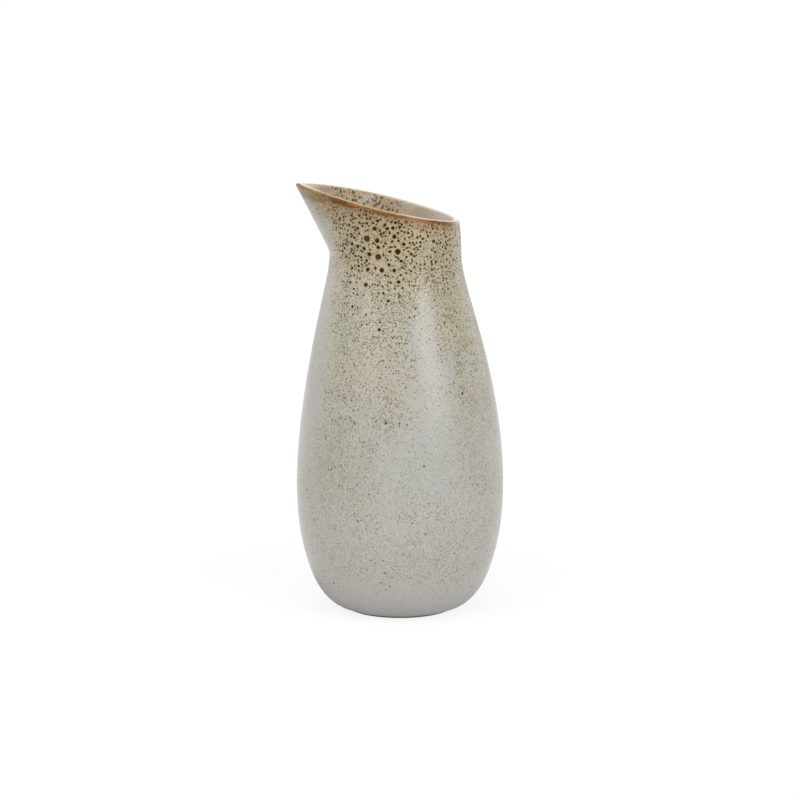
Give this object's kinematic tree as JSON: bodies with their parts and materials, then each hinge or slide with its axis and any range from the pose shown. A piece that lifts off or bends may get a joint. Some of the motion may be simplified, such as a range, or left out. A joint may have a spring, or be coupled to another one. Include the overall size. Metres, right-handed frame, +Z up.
{
  "type": "water carafe",
  "caption": "Tall rounded stoneware water carafe with a slanted mouth drawn out into a beak spout and a speckled grey glaze over a bare foot ring, for holding and pouring water.",
  "frame": {"origin": "centre of the foot ring, on the surface that the carafe stands on", "axes": "+Z up along the carafe's axis, the spout points along -X"},
  "size_m": [0.11, 0.11, 0.2273],
  "materials": {
    "stoneware": "bare fired stoneware, fine-grained and matt",
    "speckled_glaze": "reactive grey-white satin-gloss glaze with olive-brown specks, dark spots round the neck and an orange-brown break along the rim",
    "base_glaze": "plain grey-white satin-gloss glaze with fine specks"
  },
  "bodies": {
    "root": {"stoneware_body": "stoneware", "glaze_coat": "speckled_glaze", "base_glaze": "base_glaze"}
  },
  "joints": []
}
